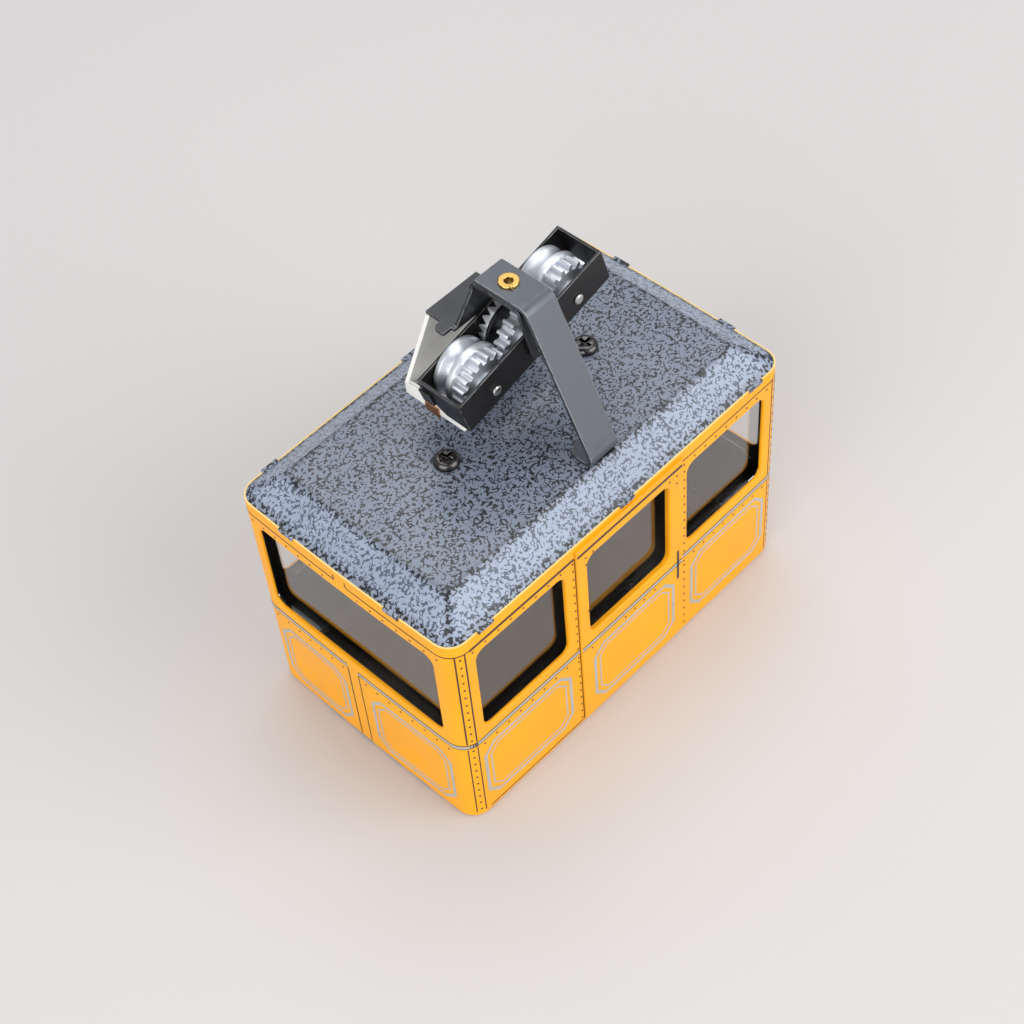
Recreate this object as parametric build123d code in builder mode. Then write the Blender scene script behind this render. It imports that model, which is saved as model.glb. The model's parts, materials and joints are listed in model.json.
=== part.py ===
from build123d import *
from math import acos, atan, cos, pi, radians, sin, tan
import os

# Toy cable car cabin in lithographed sheet metal. Millimetres, +Z up.
# X runs along the cabin, Y across it, and the cabin stands on z = 0 with its plan centred on the origin.

# ---- cabin body -----------------------------------------------------------
body_length = 100.0
body_width = 61.4
body_height = 62.3
corner_radius = 4.6
side_bow = 0.3          # how far each long side bulges at its middle
end_bow = 0.5           # how far each end bulges at its middle
skin = 0.5              # sheet thickness of body, roof and floor
bottom_roll = 1.2       # radius rolled under the bottom edge

# ---- windows --------------------------------------------------------------
sill_z = 30.6
window_height = 25.5
side_window_width = 25.0
side_window_pitch = 31.2
end_window_margin = 5.7 # from each long side to an end window
window_corner = 2.3
lip_depth = 0.9         # rolled lip, measured from the outside of the skin at its middle
lip_wall = 0.5
lip_bite = 0.1          # how far a lip's root reaches into the skin
lip_round = 0.5         # where the skin rolls in

# ---- door section pressed outwards ---------------------------------------
door_proud = 0.4
door_front_x = -15.6
door_rear_x = 16.6
door_foot_z = 2.0
door_head_z = 60.9

# ---- glazing --------------------------------------------------------------
glass_thickness = 0.4
glass_setback = 2.3     # from the outside of the skin to the front of the glazing
glass_margin = 2.5      # glazing past the window opening, behind the lips
glass_rib = 1.0         # width of the ribs that hold the glazing off the skin
glass_rib_gap = 0.05

# ---- floor ----------------------------------------------------------------
floor_gap = 0.05        # between the floor's rim and the inside of the body
floor_rim_height = 3.0
floor_roll = 0.8        # radius where the floor turns up into its rim

# ---- roof -----------------------------------------------------------------
roof_edge_inset = 0.3
roof_rise = 5.5
roof_slope_width = 7.5
roof_crown_radius = 1.2 # corners of the flat crown
roof_crease_radius = 0.8
roof_skirt = 1.6        # how far the roof reaches down inside the body
roof_skirt_gap = 0.05
tab_width = 4.2
tab_drop = 0.55
tab_wall = 0.3
tab_gap = 0.03          # between a folded tab and the body's skin
tab_lap = 2.2           # how far a tab reaches in over the edge of the roof
side_tab_x = (-40.5, 0.0, 40.5)
end_tab_y = (-15.0, 15.0)

# ---- roof screws ----------------------------------------------------------
screw_spacing = 41.2
screw_centre_x = 1.5
screw_head_diameter = 5.6
screw_head_height = 1.7
screw_head_round = 1.2
screw_shank_diameter = 2.9
screw_length = 6.0
screw_recess_width = 3.2
screw_recess_slot = 0.75
screw_recess_depth = 1.1
screw_hole_clearance = 0.1

# ---- hanger strap ---------------------------------------------------------
hanger_x = 1.9
strap_width = 7.8
strap_thickness = 1.0
strap_top_z = 102.3
strap_top_end_y = 5.3
strap_top_bend_y = -7.9
strap_foot_bend_y = -24.2
strap_foot_length = 7.7
strap_top_radius = 2.0      # bends, measured to the middle of the strap's thickness
strap_foot_radius = 1.7
strap_corner = 0.5
strap_foot_corner = 3.4     # the foot ends in a near half round

# ---- eyelet ---------------------------------------------------------------
eyelet_y = -0.3
eyelet_flange_diameter = 4.3
eyelet_flange_height = 0.5
eyelet_flange_round = 0.2
eyelet_barrel_diameter = 2.8
eyelet_bore = 1.8
eyelet_rolled_diameter = 4.0
eyelet_rolled_height = 0.4
eyelet_hole_clearance = 0.03

# ---- trolley --------------------------------------------------------------
pivot_x = 2.7
trolley_y = -0.2
pivot_z = 88.4
trolley_pitch = 15.2    # parked with the front end down, in degrees
trolley_end_margin = 8.9    # from the outer axles to the ends of the trolley
trolley_width = 11.6
trolley_wall = 0.6
rim_above_axle = 5.4
trolley_depth = 9.0
axle_spacing = 12.4
axle_diameter = 1.6
axle_clearance = 0.05   # radial, where an axle turns in a wall
axle_fit = 0.02         # radial, where a wheel is fixed on its axle
axle_overhang = 0.6
axle_chamfer = 0.25
axle_head_diameter = 2.3
axle_head_gap = 0.05    # between a head and the wall it bears on
front_cutaway = 4.4     # diagonal corner left out of the front end wall
corner_tab_length = 3.0
corner_tab_height = 4.0

# ---- wheels, measured along their axles from the middle of the trolley -----
wheel_left_flange_radius = 6.5
wheel_right_flange_radius = 7.0
groove_radius = 5.1
groove_root_round = 0.6
wheel_left_y = 4.9
groove_left_y = 3.9
groove_y = 2.5
groove_right_y = 1.2
wheel_right_y = -0.3
flange_chamfer = 0.5
dish_radius = 4.9
dish_depth = 0.5
boss_radius = 2.1

# ---- gears ----------------------------------------------------------------
gear_right_y = -3.2
hub_radius = 3.3
hub_right_y = -4.95
gear_teeth = 17
pressure_angle = 20.0
gear_addendum = 0.55
gear_dedendum = 0.85
gear_backlash = 0.16
centre_boss_radius = 2.5

# ---- brake disc and escape wheel beside the middle gear ----------------------
brake_disc_radius = 6.0
brake_disc_right_y = 1.8
brake_disc_left_y = 2.6
escape_teeth = 18
escape_radius = 5.7
escape_inner_radius = 4.9
escape_web_left_y = 3.1
escape_root_y = 3.3
escape_tip_y = 4.8      # the teeth stand up from the rim, along the axle
escape_notch_share = 0.8    # width of a notch at the tips, as a share of the teeth's spacing
escape_hub_radius = 2.6
escape_hub_left_y = 4.9

# ---- bracket that carries the trolley --------------------------------------
bracket_wall = 0.8
bracket_width = 8.2
bracket_gap = 0.25      # between the trolley's walls and the bracket's legs
bracket_boss_radius = 2.6   # rounded end of each leg, about the middle axle
bracket_bend_radius = 1.0   # to the middle of the sheet
bracket_shoulder_z = 99.0
bracket_flare = 5.6     # how far the left leg widens forwards on its way down to the wing
bracket_taper = 1.0     # how far the legs narrow at their front between shoulder and wing
wing_z = 93.0
wing_front_x = -7.9
wing_rear_x = 6.4
wing_outer_y = 13.8
wing_tab_front_x = -10.2
wing_tab_outer_y = 9.6
wing_corner = 1.2

# ---- rope guard below the trolley ------------------------------------------
guard_wall = 1.0
guard_bottom_z = 75.9
guard_front_reach = 6.0 # the guard passes the front axle by this much
guard_shoulder_z = 79.0
guard_lip_height = 3.5  # above the underside of the tray
guard_rear_x = 17.0
guard_tray_right_y = 4.0
guard_lip_right_y = -2.6    # only the front lip reaches this far under the trolley
guard_corner = 2.0
clip_thickness = 0.4
clip_width = 3.8
clip_centre_y = 6.0
clip_reach = 4.0        # along the underside of the tray
clip_rise = 2.0         # up the outside of the lip


# ---- plans and planes shared by several pieces ----------------------------
def bowed_plan(inset=0.0, z=0.0, corner=None):
    """Face of the body's plan at height z, drawn in by inset all round."""
    half_x = body_length / 2 - inset
    half_y = body_width / 2 - inset
    with BuildSketch(Plane.XY.offset(z), mode=Mode.PRIVATE) as plan:
        with BuildLine():
            ThreePointArc((-half_x, half_y), (-half_x - end_bow, 0), (-half_x, -half_y))
            ThreePointArc((-half_x, -half_y), (0, -half_y - side_bow), (half_x, -half_y))
            ThreePointArc((half_x, -half_y), (half_x + end_bow, 0), (half_x, half_y))
            ThreePointArc((half_x, half_y), (0, half_y + side_bow), (-half_x, half_y))
        make_face()
        fillet(plan.vertices(), corner_radius - inset if corner is None else corner)
    return plan.sketch


window_centre_z = sill_z + window_height / 2
side_window_x = (-side_window_pitch, 0.0, side_window_pitch)
half_length = body_length / 2
half_width = body_width / 2
end_window_width = body_width - 2 * end_window_margin
trolley_length = 2 * (axle_spacing + trolley_end_margin)
guard_front_x = pivot_x - axle_spacing - guard_front_reach
side_face_y = half_width + side_bow
end_face_x = half_length + end_bow


def side_plane(side, distance):
    """Plane facing out of the long side, side = -1 or 1, at a distance from the middle."""
    return Plane(origin=(0, side * distance, window_centre_z), x_dir=(-side, 0, 0), z_dir=(0, side, 0))


def end_plane(end, distance):
    """Plane facing out of an end, end = -1 or 1, at a distance from the middle."""
    return Plane(origin=(end * distance, 0, window_centre_z), x_dir=(0, end, 0), z_dir=(end, 0, 0))


def windows(plane, centres, width, grow=0.0):
    """Rounded window outlines on a plane, each grown by the same amount all round."""
    with BuildSketch(plane) as outline:
        with Locations(*[(centre, 0) for centre in centres]):
            RectangleRounded(width + 2 * grow, window_height + 2 * grow, window_corner + grow)
    return outline.sketch


def outer_edges(edges, axis, way, lip_distance):
    """Edges of a fresh window cut that lie on the outside of the skin, way = -1 or 1 along the axis."""
    around = edges.filter_by(axis, reverse=True)
    outside = lip_distance + lip_depth / 2
    return [edge for edge in around if way * edge.center().dot(axis.direction) > outside]


def tilted(x, y, z):
    """World position of a point given in the trolley's own frame, whose origin is its middle axle."""
    lean = radians(trolley_pitch)
    return (pivot_x + x * cos(lean) - z * sin(lean), trolley_y + y, pivot_z + x * sin(lean) + z * cos(lean))


def upright(y):
    """Upright plane along X at y, facing -Y, with its local x and y along +X and +Z."""
    return Plane(origin=(0, y, 0), x_dir=(1, 0, 0), z_dir=(0, -1, 0))


def trolley_plane(y, x=0.0):
    """The same plane in the trolley's frame, leaning with it, with its origin on an axle at x."""
    lean = radians(trolley_pitch)
    return Plane(origin=tilted(x, y, 0), x_dir=(cos(lean), 0, sin(lean)), z_dir=(0, -1, 0))


def axle_section(x):
    """Plane through the axle at x for turned profiles: local x runs along the axle, local y away from it."""
    lean = radians(trolley_pitch)
    return Plane(origin=tilted(x, 0, 0), x_dir=(0, 1, 0), z_dir=(cos(lean), 0, sin(lean)))


def axle_axis(x):
    """Axis of the axle at x in the trolley."""
    return Axis(origin=tilted(x, 0, 0), direction=(0, 1, 0))


def turned(x, points):
    """Profile of a turned piece on the axle at x, from (along, radius) points and closed on the axle."""
    with BuildSketch(axle_section(x), mode=Mode.PRIVATE) as profile:
        with BuildLine():
            Polyline((points[0][0], 0), *points, (points[-1][0], 0), close=True)
        make_face()
    return profile.sketch


def strip(plane, points, radii, thickness):
    """Section of a bent strip that follows a polyline with rounded bends."""
    with BuildSketch(plane, mode=Mode.PRIVATE) as section:
        with BuildLine() as path:
            FilletPolyline(*points, radius=radii)
        trace(path.wires(), line_width=thickness)
    return section.sketch


def finish(piece, name):
    """Label a finished piece and write it as its own STEP file."""
    piece.part.label = name
    export_step(piece.part, f"parts/{name}.step")


os.makedirs("parts", exist_ok=True)

# ---- body shell: skin, pressed door sections and rolled window lips --------
side_lip_y = side_face_y - lip_depth
end_lip_x = end_face_x - lip_depth
lip_reach = lip_depth - skin + lip_bite
with BuildPart() as body_shell:
    extrude(bowed_plan(), amount=body_height)
    fillet(body_shell.faces().sort_by(Axis.Z)[0].edges(), bottom_roll)
    for side in (-1, 1):
        with BuildSketch(Plane.XZ.offset(-side * (half_width - skin))) as door:
            with Locations(((door_front_x + door_rear_x) / 2, (door_foot_z + door_head_z) / 2)):
                Rectangle(door_rear_x - door_front_x, door_head_z - door_foot_z)
        extrude(amount=-side * (skin + side_bow + door_proud))
    extrude(bowed_plan(skin), amount=body_height, mode=Mode.SUBTRACT)
    for side in (-1, 1):
        lip_plane = side_plane(side, side_lip_y)
        extrude(windows(lip_plane, side_window_x, side_window_width, lip_wall), amount=lip_reach)
        for centre in side_window_x:
            extrude(windows(lip_plane, (centre,), side_window_width), amount=2 * lip_depth, mode=Mode.SUBTRACT)
            fillet(outer_edges(body_shell.edges(Select.LAST), Axis.Y, side, side_lip_y), lip_round)
    for end in (-1, 1):
        lip_plane = end_plane(end, end_lip_x)
        extrude(windows(lip_plane, (0.0,), end_window_width, lip_wall), amount=lip_reach)
        extrude(windows(lip_plane, (0.0,), end_window_width), amount=2 * lip_depth, mode=Mode.SUBTRACT)
        fillet(outer_edges(body_shell.edges(Select.LAST), Axis.X, end, end_lip_x), lip_round)
finish(body_shell, "body_shell")

# ---- floor pan, pushed up inside the body --------------------------------
with BuildPart() as floor_pan:
    extrude(bowed_plan(skin + floor_gap), amount=floor_rim_height)
    fillet(floor_pan.faces().sort_by(Axis.Z)[0].edges(), floor_roll)
    extrude(bowed_plan(2 * skin + floor_gap, skin), amount=floor_rim_height, mode=Mode.SUBTRACT)
finish(floor_pan, "floor_pan")

# ---- glazing: sheets set back from the skin on a rib above and below the windows -----
side_glass_length = 2 * side_window_pitch + side_window_width + 2 * glass_margin
end_glass_length = end_window_width + 2 * glass_margin
side_inner_y = half_width - skin
end_inner_x = half_length - skin
rib_offset = (window_height - glass_rib) / 2 + glass_margin


def glazing_sheet(plane, length, standoff):
    """Solid sheet behind a plane, with its two ribs standing off the sheet towards the skin."""
    with BuildPart(mode=Mode.PRIVATE) as sheet:
        with BuildSketch(plane):
            RectangleRounded(length, window_height + 2 * glass_margin, window_corner)
        extrude(amount=-glass_thickness)
        with BuildSketch(plane):
            with Locations((0, -rib_offset), (0, rib_offset)):
                Rectangle(length - 2 * corner_radius, glass_rib)
        extrude(amount=standoff)
    return sheet


for name, side in (("left_glazing", 1), ("right_glazing", -1)):
    front_y = side_face_y - glass_setback
    glazing = glazing_sheet(side_plane(side, front_y), side_glass_length, side_inner_y - glass_rib_gap - front_y)
    finish(glazing, name)
for name, end in (("front_glazing", -1), ("rear_glazing", 1)):
    front_x = end_face_x - glass_setback
    glazing = glazing_sheet(end_plane(end, front_x), end_glass_length, end_inner_x - glass_rib_gap - front_x)
    finish(glazing, name)

# ---- roof: hipped pan, skirt inside the body and tabs folded over its rim -----
roof_top_z = body_height + roof_rise
roof_slope = atan(roof_rise / roof_slope_width)
crown_inset = roof_edge_inset + roof_slope_width
slope_wall = skin / sin(roof_slope)
inner_crown_inset = crown_inset + slope_wall - skin / tan(roof_slope)
screw_x = (screw_centre_x - screw_spacing / 2, screw_centre_x + screw_spacing / 2)
with BuildPart() as roof_tabs:
    tab_outside = -(tab_gap + tab_wall)
    extrude(bowed_plan(tab_outside, body_height - tab_drop), amount=tab_drop + tab_wall)
    extrude(bowed_plan(-tab_gap, body_height - tab_drop), amount=tab_drop, mode=Mode.SUBTRACT)
    extrude(bowed_plan(tab_lap, body_height), amount=tab_wall, mode=Mode.SUBTRACT)
    with BuildSketch(Plane.XY.offset(body_height - tab_drop)):
        with Locations(*[(x, 0) for x in side_tab_x]):
            Rectangle(tab_width, 2 * body_width)
        with Locations(*[(0, y) for y in end_tab_y]):
            Rectangle(2 * body_length, tab_width)
    extrude(amount=tab_drop + tab_wall, mode=Mode.INTERSECT)
with BuildPart() as roof_pan:
    loft(
        [bowed_plan(roof_edge_inset, body_height), bowed_plan(crown_inset, roof_top_z, roof_crown_radius)],
        ruled=True,
    )
    fillet(roof_pan.faces().sort_by(Axis.Z)[-1].edges(), roof_crease_radius)
    loft(
        [
            bowed_plan(roof_edge_inset + slope_wall, body_height),
            bowed_plan(inner_crown_inset, roof_top_z - skin, roof_crown_radius),
        ],
        ruled=True,
        mode=Mode.SUBTRACT,
    )
    extrude(bowed_plan(skin + roof_skirt_gap, body_height - roof_skirt), amount=roof_skirt)
    extrude(
        bowed_plan(2 * skin + roof_skirt_gap, body_height - roof_skirt),
        amount=roof_skirt,
        mode=Mode.SUBTRACT,
    )
    add(roof_tabs.part)
    with Locations(*[(x, 0, roof_top_z) for x in screw_x]):
        Hole(screw_shank_diameter / 2 + screw_hole_clearance, depth=2 * skin)
finish(roof_pan, "roof_pan")

# ---- roof screws, pan heads with a cross recess ------------------------------
for name, x in (("roof_screw_front", screw_x[0]), ("roof_screw_rear", screw_x[1])):
    with BuildPart() as roof_screw:
        with BuildSketch(Plane.XY.offset(roof_top_z)):
            with Locations((x, 0)):
                Circle(screw_head_diameter / 2)
        extrude(amount=screw_head_height)
        fillet(roof_screw.faces().sort_by(Axis.Z)[-1].edges(), screw_head_round)
        with BuildSketch(Plane.XY.offset(roof_top_z)):
            with Locations((x, 0)):
                Circle(screw_shank_diameter / 2)
        extrude(amount=-screw_length)
        with BuildSketch(Plane.XY.offset(roof_top_z + screw_head_height)):
            with Locations((x, 0)):
                Rectangle(screw_recess_width, screw_recess_slot)
                Rectangle(screw_recess_slot, screw_recess_width)
        extrude(amount=-screw_recess_depth, mode=Mode.SUBTRACT)
    finish(roof_screw, name)

# ---- hanger strap ---------------------------------------------------------
strap_middle_z = strap_top_z - strap_thickness / 2
strap_underside_z = strap_top_z - strap_thickness
strap_foot_z = roof_top_z + strap_thickness / 2
with BuildPart() as hanger_strap:
    strap_path = (
        (strap_top_end_y, strap_middle_z),
        (strap_top_bend_y, strap_middle_z),
        (strap_foot_bend_y, strap_foot_z),
        (strap_foot_bend_y + strap_foot_length, strap_foot_z),
    )
    strap_section = strip(
        Plane.YZ.offset(hanger_x),
        strap_path,
        [strap_top_radius, strap_foot_radius],
        strap_thickness,
    )
    extrude(strap_section, amount=strap_width / 2, both=True)
    corners = hanger_strap.edges().filter_by(Axis.Z).group_by(Axis.Z)
    fillet(corners[0], strap_foot_corner)
    fillet(corners[-1], strap_corner)
    with Locations((hanger_x, eyelet_y, strap_top_z)):
        Hole(eyelet_barrel_diameter / 2 + eyelet_hole_clearance, depth=2 * strap_thickness)
finish(hanger_strap, "hanger_strap")

# ---- eyelet that holds the bracket up under the strap ------------------------
bracket_underside_z = strap_underside_z - bracket_wall
with BuildPart() as eyelet:
    with BuildSketch(Plane.XZ.offset(-eyelet_y)) as eyelet_profile:
        with BuildLine():
            Polyline(
                (hanger_x + eyelet_bore / 2, strap_top_z + eyelet_flange_height),
                (hanger_x + eyelet_flange_diameter / 2, strap_top_z + eyelet_flange_height),
                (hanger_x + eyelet_flange_diameter / 2, strap_top_z),
                (hanger_x + eyelet_barrel_diameter / 2, strap_top_z),
                (hanger_x + eyelet_barrel_diameter / 2, bracket_underside_z),
                (hanger_x + eyelet_rolled_diameter / 2, bracket_underside_z),
                (hanger_x + eyelet_rolled_diameter / 2, bracket_underside_z - eyelet_rolled_height),
                (hanger_x + eyelet_bore / 2, bracket_underside_z - eyelet_rolled_height),
                close=True,
            )
        make_face()
        flange_corners = eyelet_profile.vertices().group_by(Axis.Y)[-1]
        fillet(flange_corners, eyelet_flange_round)
    revolve(axis=Axis(origin=(hanger_x, eyelet_y, 0), direction=(0, 0, 1)))
finish(eyelet, "eyelet")

# ---- bracket: bent sheet with two legs, a wing and its tab -------------------
half_trolley = trolley_width / 2
left_leg_y = trolley_y + half_trolley + bracket_gap
right_leg_y = trolley_y - half_trolley - bracket_gap - bracket_wall
bracket_middle_z = strap_underside_z - bracket_wall / 2
bracket_front_x = hanger_x - bracket_width / 2
bracket_rear_x = hanger_x + bracket_width / 2
axle_hole_radius = axle_diameter / 2 + axle_clearance
with BuildPart() as trolley_bracket:
    bracket_path = (
        (right_leg_y + bracket_wall / 2, bracket_shoulder_z),
        (right_leg_y + bracket_wall / 2, bracket_middle_z),
        (left_leg_y + bracket_wall / 2, bracket_middle_z),
        (left_leg_y + bracket_wall / 2, bracket_shoulder_z),
    )
    bracket_section = strip(Plane.YZ.offset(hanger_x), bracket_path, bracket_bend_radius, bracket_wall)
    extrude(bracket_section, amount=bracket_width / 2, both=True)
    with BuildSketch(upright(right_leg_y)):
        Polygon(
            (bracket_front_x, bracket_shoulder_z),
            (bracket_rear_x, bracket_shoulder_z),
            (pivot_x + bracket_boss_radius, pivot_z),
            (pivot_x - bracket_boss_radius, pivot_z),
            align=None,
        )
        with Locations((pivot_x, pivot_z)):
            Circle(bracket_boss_radius)
    extrude(amount=-bracket_wall)
    with BuildSketch(upright(left_leg_y)):
        Polygon(
            (bracket_front_x, bracket_shoulder_z),
            (bracket_rear_x, bracket_shoulder_z),
            (wing_rear_x, wing_z - bracket_wall),
            (bracket_front_x - bracket_flare, wing_z - bracket_wall),
            align=None,
        )
        Polygon(
            (bracket_front_x + bracket_taper, wing_z),
            (bracket_rear_x, wing_z),
            (pivot_x + bracket_boss_radius, pivot_z),
            (pivot_x - bracket_boss_radius, pivot_z),
            align=None,
        )
        with Locations((pivot_x, pivot_z)):
            Circle(bracket_boss_radius)
    extrude(amount=-bracket_wall)
    with BuildSketch(Plane.XY.offset(wing_z)) as wing:
        Polygon(
            (wing_front_x, left_leg_y),
            (wing_rear_x, left_leg_y),
            (wing_rear_x, wing_outer_y),
            (wing_front_x, wing_outer_y),
            align=None,
        )
        Polygon(
            (wing_tab_front_x, left_leg_y + bracket_wall),
            (wing_front_x, left_leg_y + bracket_wall),
            (wing_front_x, wing_tab_outer_y),
            (wing_tab_front_x, wing_tab_outer_y),
            align=None,
        )
        fillet(wing.vertices().group_by(Axis.X)[0].sort_by(Axis.Y)[-1:], wing_corner)
    extrude(amount=-bracket_wall)
    with Locations((hanger_x, eyelet_y, strap_underside_z)):
        Hole(eyelet_barrel_diameter / 2 + eyelet_hole_clearance, depth=2 * bracket_wall)
    with BuildSketch(upright(wing_outer_y)):
        with Locations((pivot_x, pivot_z)):
            Circle(axle_hole_radius)
    extrude(amount=2 * wing_outer_y, mode=Mode.SUBTRACT)
finish(trolley_bracket, "trolley_bracket")

# ---- rope guard: back plate hung from the wing, tray and end lips --------------
guard_top_z = wing_z - bracket_wall
with BuildPart() as rope_guard:
    with BuildSketch(upright(wing_outer_y)):
        Polygon(
            (wing_front_x, guard_top_z),
            (wing_rear_x, guard_top_z),
            (guard_rear_x, guard_shoulder_z),
            (guard_rear_x, guard_bottom_z),
            (guard_front_x, guard_bottom_z),
            (guard_front_x, guard_shoulder_z),
            align=None,
        )
    extrude(amount=guard_wall)
    with BuildSketch(Plane.XY.offset(guard_bottom_z)):
        Polygon(
            (guard_front_x, guard_tray_right_y),
            (guard_rear_x, guard_tray_right_y),
            (guard_rear_x, wing_outer_y),
            (guard_front_x, wing_outer_y),
            align=None,
        )
    extrude(amount=guard_wall)
    for x, lip_right_y in ((guard_front_x, guard_lip_right_y), (guard_rear_x - guard_wall, guard_tray_right_y)):
        with BuildSketch(Plane.YZ.offset(x)) as lip:
            Polygon(
                (lip_right_y, guard_bottom_z),
                (wing_outer_y, guard_bottom_z),
                (wing_outer_y, guard_bottom_z + guard_lip_height),
                (lip_right_y, guard_bottom_z + guard_lip_height),
                align=None,
            )
            fillet(lip.vertices().group_by(Axis.Y)[-1].sort_by(Axis.X)[:1], guard_corner)
        extrude(amount=guard_wall)
finish(rope_guard, "rope_guard")

# ---- clip folded round the guard's front lip --------------------------------
with BuildPart() as guard_clip:
    with BuildSketch(upright(clip_centre_y)):
        Polygon(
            (guard_front_x - clip_thickness, guard_bottom_z - clip_thickness),
            (guard_front_x + clip_reach, guard_bottom_z - clip_thickness),
            (guard_front_x + clip_reach, guard_bottom_z),
            (guard_front_x, guard_bottom_z),
            (guard_front_x, guard_bottom_z + clip_rise),
            (guard_front_x - clip_thickness, guard_bottom_z + clip_rise),
            align=None,
        )
    extrude(amount=clip_width / 2, both=True)
finish(guard_clip, "guard_clip")

# ---- trolley: one bent sheet makes the right wall and both end walls ------------
half_trolley_length = trolley_length / 2
trolley_floor_z = rim_above_axle - trolley_depth
trolley_middle_z = rim_above_axle - trolley_depth / 2
axle_x = (-axle_spacing, 0.0, axle_spacing)
with BuildPart() as trolley_frame:
    with BuildSketch(trolley_plane(-half_trolley)):
        with Locations((0, trolley_middle_z)):
            Rectangle(trolley_length, trolley_depth)
        with Locations(*[(x, 0) for x in axle_x]):
            Circle(axle_hole_radius, mode=Mode.SUBTRACT)
    extrude(amount=-trolley_wall)
    for x in (-half_trolley_length, half_trolley_length - trolley_wall):
        with BuildSketch(trolley_plane(half_trolley - trolley_wall)):
            with Locations((x + trolley_wall / 2, trolley_middle_z)):
                Rectangle(trolley_wall, trolley_depth)
        extrude(amount=trolley_width - trolley_wall)
    with BuildSketch(axle_section(-half_trolley_length)):
        Polygon(
            (half_trolley, trolley_floor_z),
            (half_trolley - trolley_wall - front_cutaway, trolley_floor_z),
            (half_trolley, trolley_floor_z + trolley_wall + front_cutaway),
            align=None,
        )
    extrude(amount=trolley_wall, mode=Mode.SUBTRACT)
finish(trolley_frame, "trolley_frame")

# ---- trolley's left side plate, with tabs folded over the end walls -------------
with BuildPart() as trolley_side_plate:
    with BuildSketch(trolley_plane(half_trolley)):
        with Locations((0, trolley_middle_z)):
            Rectangle(trolley_length, trolley_depth)
        with Locations(*[(x, 0) for x in axle_x]):
            Circle(axle_hole_radius, mode=Mode.SUBTRACT)
    extrude(amount=trolley_wall)
    with BuildSketch(trolley_plane(half_trolley)):
        tab_middle_x = half_trolley_length + trolley_wall / 2
        with Locations((-tab_middle_x, trolley_middle_z), (tab_middle_x, trolley_middle_z)):
            Rectangle(trolley_wall, corner_tab_height)
    extrude(amount=corner_tab_length)
finish(trolley_side_plate, "trolley_side_plate")

# ---- wheels with their spur gears, and the middle gear ------------------------
pitch_radius = axle_spacing / 2
base_radius = pitch_radius * cos(radians(pressure_angle))
gear_tip_radius = pitch_radius + gear_addendum
gear_root_radius = pitch_radius - gear_dedendum


def flank_angle(radius):
    """Half the angle that a gear tooth takes up at a radius, on an involute flank."""
    at_pitch = pi / (2 * gear_teeth) - gear_backlash / (2 * pitch_radius)
    pressure = radians(pressure_angle)
    here = acos(min(1.0, base_radius / radius))
    return at_pitch + (tan(pressure) - pressure) - (tan(here) - here)


def polar(radius, angle):
    """Point at a radius and an angle in radians."""
    return (radius * cos(angle), radius * sin(angle))


def gear_outline(plane):
    """Outline of a spur gear about a plane's origin, with one tooth pointing along its x."""
    step = 2 * pi / gear_teeth
    with BuildSketch(plane, mode=Mode.PRIVATE) as outline:
        with BuildLine():
            for tooth in range(gear_teeth):
                middle = tooth * step
                base = flank_angle(base_radius)
                pitch = flank_angle(pitch_radius)
                tip = flank_angle(gear_tip_radius)
                Line(polar(gear_root_radius, middle - base), polar(base_radius, middle - base))
                ThreePointArc(
                    polar(base_radius, middle - base),
                    polar(pitch_radius, middle - pitch),
                    polar(gear_tip_radius, middle - tip),
                )
                ThreePointArc(
                    polar(gear_tip_radius, middle - tip),
                    polar(gear_tip_radius, middle),
                    polar(gear_tip_radius, middle + tip),
                )
                ThreePointArc(
                    polar(gear_tip_radius, middle + tip),
                    polar(pitch_radius, middle + pitch),
                    polar(base_radius, middle + base),
                )
                Line(polar(base_radius, middle + base), polar(gear_root_radius, middle + base))
                ThreePointArc(
                    polar(gear_root_radius, middle + base),
                    polar(gear_root_radius, middle + step / 2),
                    polar(gear_root_radius, middle + step - base),
                )
        make_face()
    return outline.sketch


def bored(x):
    """Cutter for the bore of a piece fixed on the axle at x."""
    return turned(x, ((-trolley_width, axle_diameter / 2 + axle_fit), (trolley_width, axle_diameter / 2 + axle_fit)))


wheel_profile = (
    (wheel_right_y, wheel_right_flange_radius - flange_chamfer),
    (wheel_right_y + flange_chamfer, wheel_right_flange_radius),
    (groove_right_y, wheel_right_flange_radius),
    (groove_y, groove_radius),
    (groove_left_y, wheel_left_flange_radius),
    (wheel_left_y, wheel_left_flange_radius),
    (wheel_left_y, dish_radius),
    (wheel_left_y - dish_depth, dish_radius),
    (wheel_left_y - dish_depth, boss_radius),
    (wheel_left_y, boss_radius),
)
hub_profile = ((hub_right_y, hub_radius), (gear_right_y, hub_radius))
for name, x in (("front_wheel", -axle_spacing), ("rear_wheel", axle_spacing)):
    with BuildPart() as wheel:
        revolve(turned(x, wheel_profile), axis=axle_axis(x))
        extrude(gear_outline(trolley_plane(wheel_right_y, x)), amount=wheel_right_y - gear_right_y)
        revolve(turned(x, hub_profile), axis=axle_axis(x))
        revolve(bored(x), axis=axle_axis(x), mode=Mode.SUBTRACT)
    finish(wheel, name)

with BuildPart() as centre_gear:
    extrude(gear_outline(trolley_plane(wheel_right_y)), amount=wheel_right_y - gear_right_y)
    revolve(turned(0, hub_profile), axis=axle_axis(0))
    revolve(
        turned(0, ((wheel_right_y, centre_boss_radius), (brake_disc_right_y, centre_boss_radius))),
        axis=axle_axis(0),
    )
    revolve(bored(0), axis=axle_axis(0), mode=Mode.SUBTRACT)
finish(centre_gear, "centre_gear")

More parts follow.
